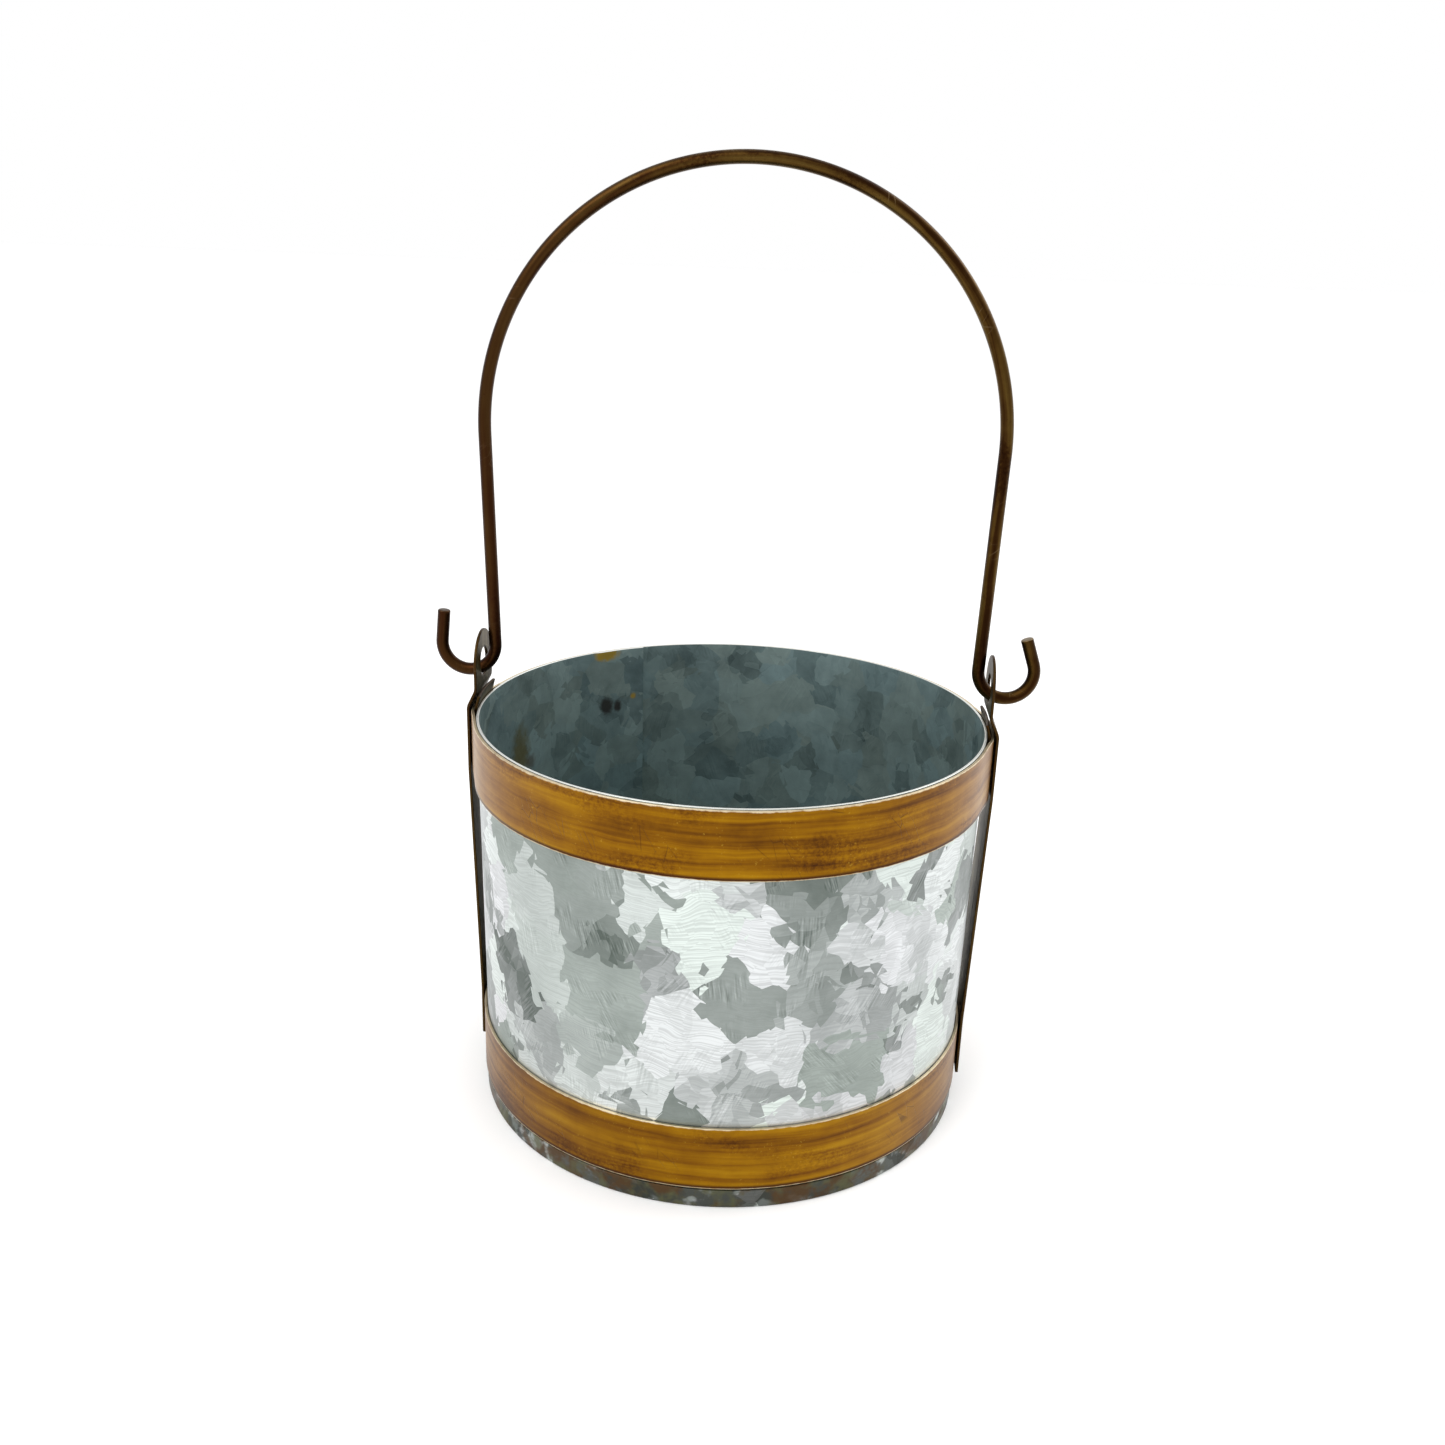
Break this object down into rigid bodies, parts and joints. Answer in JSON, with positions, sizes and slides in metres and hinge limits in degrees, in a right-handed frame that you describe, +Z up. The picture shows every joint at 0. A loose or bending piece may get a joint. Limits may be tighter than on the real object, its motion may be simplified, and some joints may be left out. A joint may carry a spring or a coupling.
{
  "type": "florist bucket",
  "caption": "Small galvanised pail held in lacquered strip hoops and side straps, with a wire bail that swings in the straps' round ears, for cut flowers.",
  "frame": {"origin": "centre of the foot ring's underside, on the surface the pail stands on", "axes": "+Z up through the mouth, X along the bail's pivot, -Y towards the front, with the wall's lap at the back left"},
  "size_m": [0.178, 0.152, 0.2745],
  "materials": {
    "galvanised": "spangled zinc, semi-gloss",
    "hoop_lacquer": "worn amber lacquer, semi-gloss",
    "strap_lacquer": "worn olive-bronze lacquer, semi-gloss",
    "bail_lacquer": "dark bronze lacquer, semi-gloss"
  },
  "bodies": {
    "bucket": {"drum_wall": "galvanised", "base_pan": "galvanised", "top_hoop": "hoop_lacquer", "bottom_hoop": "hoop_lacquer", "left_strap": "strap_lacquer", "right_strap": "strap_lacquer", "left_tab": "strap_lacquer", "right_tab": "strap_lacquer"},
    "bail": {"bail": "bail_lacquer"}
  },
  "joints": [
    {"name": "bail_pivot", "type": "hinge", "parent": "bucket", "child": "bail", "pos_m": [0, 0, 0.131], "axis": [1, 0, 0], "range_deg": [-109, 109]}
  ]
}
